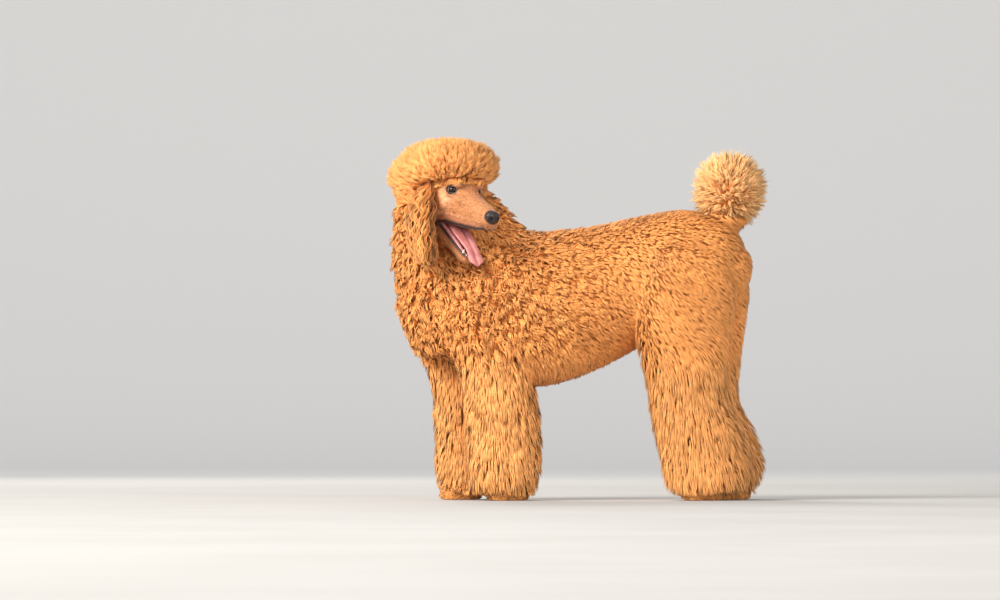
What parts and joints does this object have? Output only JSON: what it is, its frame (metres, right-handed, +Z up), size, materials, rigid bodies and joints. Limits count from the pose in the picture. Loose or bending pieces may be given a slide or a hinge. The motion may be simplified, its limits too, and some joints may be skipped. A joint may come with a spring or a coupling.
{
  "type": "standard poodle",
  "caption": "Life-size standing standard poodle with its head turned to its left and its mouth open, as a still display model.",
  "frame": {"origin": "bottom centre of the bounding box, on the floor under the paws", "axes": "+Z up, -X towards the chest, -Y towards the dog's left side"},
  "size_m": [0.841, 0.4012, 0.7966],
  "materials": {
    "torso": "curly coat",
    "neck": "curly coat",
    "tail": "curly coat",
    "topknot": "curly coat",
    "head": "short hair",
    "lower_jaw": "short hair",
    "tongue": "moist",
    "nose": "moist, finely pebbled",
    "eye_left": "wet gloss",
    "eye_right": "wet gloss",
    "ear_left": "curly coat",
    "ear_right": "curly coat",
    "foreleg_left": "curly coat",
    "foreleg_right": "curly coat",
    "hindleg_left": "curly coat",
    "hindleg_right": "curly coat",
    "forepaw_left": "short hair",
    "forepaw_right": "short hair",
    "hindpaw_left": "short hair",
    "hindpaw_right": "short hair"
  },
  "bodies": {
    "root": {"torso": "torso", "neck": "neck", "tail": "tail", "topknot": "topknot", "head": "head", "lower_jaw": "lower_jaw", "tongue": "tongue", "nose": "nose", "eye_left": "eye_left", "eye_right": "eye_right", "ear_left": "ear_left", "ear_right": "ear_right", "foreleg_left": "foreleg_left", "foreleg_right": "foreleg_right", "hindleg_left": "hindleg_left", "hindleg_right": "hindleg_right", "forepaw_left": "forepaw_left", "forepaw_right": "forepaw_right", "hindpaw_left": "hindpaw_left", "hindpaw_right": "hindpaw_right"}
  },
  "joints": []
}
